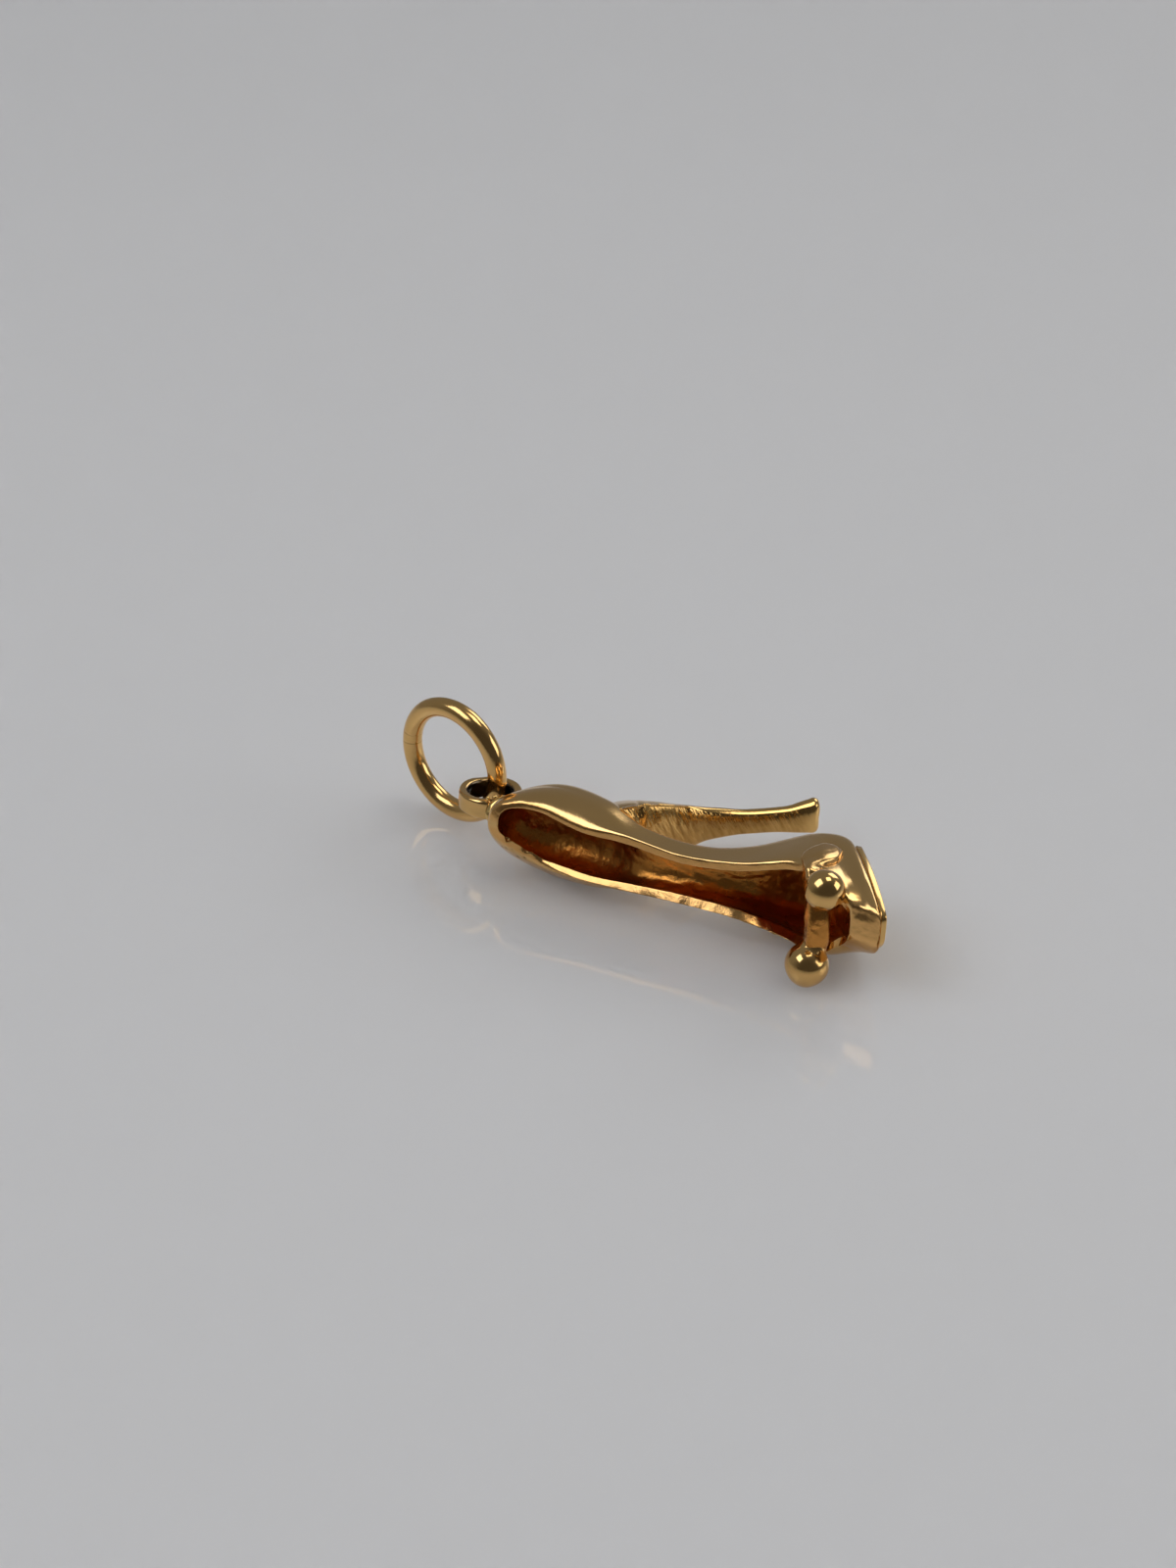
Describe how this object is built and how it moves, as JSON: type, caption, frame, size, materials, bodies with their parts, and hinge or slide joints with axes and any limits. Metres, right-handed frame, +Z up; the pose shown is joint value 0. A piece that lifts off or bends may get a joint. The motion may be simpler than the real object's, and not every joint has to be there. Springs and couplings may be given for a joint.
{
  "type": "high heel charm",
  "caption": "Small gold charm shaped as an open-toed stiletto shoe lying on its side, with knobs on the vamp band and a jump ring in a soldered bail.",
  "frame": {"origin": "on the table, under the middle of the charm's bounding box", "axes": "+X towards the toe, +Y towards the sole, +Z up from the table; the shoe lies on its right side"},
  "size_m": [0.019, 0.018, 0.006],
  "materials": {
    "cast_gold": "cast yellow gold, polished outside, rough inside",
    "filed_gold": "yellow gold with fine file marks",
    "polished_gold": "polished yellow gold",
    "solder_gold": "bright paler solder"
  },
  "bodies": {
    "shoe": {"shoe_upper": "cast_gold", "vamp_band": "cast_gold", "stiletto_heel": "filed_gold", "sole_plate": "filed_gold", "bow_knob_left": "polished_gold", "bow_knob_right": "polished_gold", "bail_loop": "polished_gold", "bail_solder": "solder_gold"},
    "ring": {"jump_ring": "polished_gold"}
  },
  "joints": [
    {"name": "ring_swing", "type": "hinge", "parent": "shoe", "child": "ring", "pos_m": [-0.00512, -0.0055, 0.00214], "axis": [0, 0, 1], "range_deg": [-140, 140]}
  ]
}
